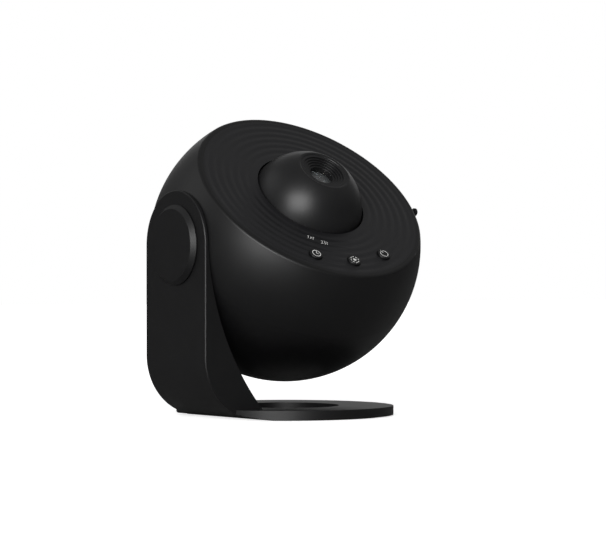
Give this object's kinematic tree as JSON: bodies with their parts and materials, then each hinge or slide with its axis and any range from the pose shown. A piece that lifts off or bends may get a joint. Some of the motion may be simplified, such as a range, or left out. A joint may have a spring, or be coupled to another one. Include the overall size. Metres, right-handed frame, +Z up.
{
  "type": "planetarium projector",
  "caption": "Desktop planetarium projector: a ball head with a rippled control face and a stepped lens dome, held by a tilting side arm on a flat ring-shaped base.",
  "frame": {"origin": "on the table plane, straight below the centre of the ball", "axes": "+Z up; the control face looks up and towards -Y; the arm stands at -X and the focus knob at +X"},
  "size_m": [0.15, 0.1477, 0.1644],
  "materials": {
    "stand_paint": "satin black paint on a die casting",
    "foot_rubber": "matt",
    "washer_plastic": "natural low-friction plastic",
    "spring_steel": "plain",
    "housing_black": "fine grain, satin black",
    "face_black": "rippled, satin black",
    "cap_black": "satin black",
    "inner_black": "plain black",
    "screw_steel": "zinc plated",
    "sink_aluminium": "plain",
    "lamp_board": "white solder mask",
    "lamp_body": "phosphor yellow",
    "lens_glass": "polished",
    "motor_steel": "plain",
    "board_green": "green solder mask",
    "parts_black": "moulded",
    "button_black": "satin black with a white sign",
    "knob_rubber": "matt",
    "magnet_nickel": "nickel plated",
    "dome_black": "half gloss black",
    "gear_white": "natural white",
    "film_dark": "dark film",
    "socket_black": "moulded",
    "contact_metal": "plain"
  },
  "bodies": {
    "stand": {"stand": "stand_paint", "foot_pad": "foot_rubber", "friction_washer": "washer_plastic", "spring_washer": "spring_steel"},
    "head": {"shell_rear": "housing_black", "shell_front": "housing_black", "side_plate": "inner_black", "keeper_plate": "spring_steel", "hub_screws": "screw_steel", "pivot_cap": "cap_black", "face_plate": "face_black", "focus_retainer": "inner_black", "chassis": "inner_black", "side_screws": "screw_steel", "shell_screws": "screw_steel", "post_screws": "screw_steel", "heat_sink": "sink_aluminium", "led_board": "lamp_board", "led_lamp": "lamp_body", "condenser_holder": "inner_black", "condenser_lens_small": "lens_glass", "condenser_lens_large": "lens_glass", "motor": "motor_steel", "motor_screws": "screw_steel", "main_board": "board_green", "board_parts": "parts_black", "button_board": "board_green", "button_switches": "parts_black", "board_screws": "screw_steel", "power_socket": "socket_black", "socket_block": "socket_black", "socket_pin": "contact_metal", "socket_nut": "spring_steel"},
    "timer_button": {"button_timer": "button_black"},
    "light_button": {"button_light": "button_black"},
    "power_button": {"button_power": "button_black"},
    "focus": {"focus_ring": "inner_black", "focus_knob": "knob_rubber"},
    "carriage": {"lens_carriage": "inner_black", "seat_magnets": "magnet_nickel"},
    "dome_unit": {"dome": "dome_black", "dome_floor": "inner_black", "keeper_ring": "spring_steel", "lens_barrel": "inner_black", "lens_front": "lens_glass", "lens_spacer": "inner_black", "lens_rear": "lens_glass", "lens_lock_ring": "inner_black"},
    "turntable": {"disc_turntable": "gear_white", "star_disc": "film_dark"},
    "pinion": {"motor_pinion": "gear_white"}
  },
  "joints": [
    {"name": "head_tilt", "type": "hinge", "parent": "stand", "child": "head", "pos_m": [0, 0, 0.0936], "axis": [1, 0, 0], "range_deg": [-87.2, 47.8]},
    {"name": "timer_press", "type": "slide", "parent": "head", "child": "timer_button", "axis": [0, 0.6717, -0.7408], "range_m": [0, 0.0006], "stiffness_N_per_m": 600, "springref_m": -0.0001},
    {"name": "light_press", "type": "slide", "parent": "head", "child": "light_button", "axis": [0, 0.6717, -0.7408], "range_m": [0, 0.0006], "stiffness_N_per_m": 600, "springref_m": -0.0001},
    {"name": "power_press", "type": "slide", "parent": "head", "child": "power_button", "axis": [0, 0.6717, -0.7408], "range_m": [0, 0.0006], "stiffness_N_per_m": 600, "springref_m": -0.0001},
    {"name": "focus_turn", "type": "hinge", "parent": "head", "child": "focus", "pos_m": [0, 0, 0.0936], "axis": [0, -0.6717, 0.7408], "range_deg": [-20, 20]},
    {"name": "carriage_slide", "type": "slide", "parent": "head", "child": "carriage", "axis": [0, -0.6717, 0.7408], "range_m": [-0.00151, 0.00151]},
    {"name": "dome_lift", "type": "slide", "parent": "carriage", "child": "dome_unit", "axis": [0, -0.6717, 0.7408], "range_m": [0, 0.04]},
    {"name": "turntable_spin", "type": "hinge", "parent": "head", "child": "turntable", "pos_m": [0, 0, 0.0936], "axis": [0, -0.6717, 0.7408], "continuous": true},
    {"name": "pinion_spin", "type": "hinge", "parent": "head", "child": "pinion", "pos_m": [0, 0.02898, 0.11988], "axis": [0, -0.6717, 0.7408], "continuous": true}
  ],
  "couplings": [
    {"joint": "carriage_slide", "follows": "focus_turn", "m_per_rad": -0.0042972},
    {"joint": "pinion_spin", "follows": "turntable_spin", "ratio": -4.5714}
  ]
}
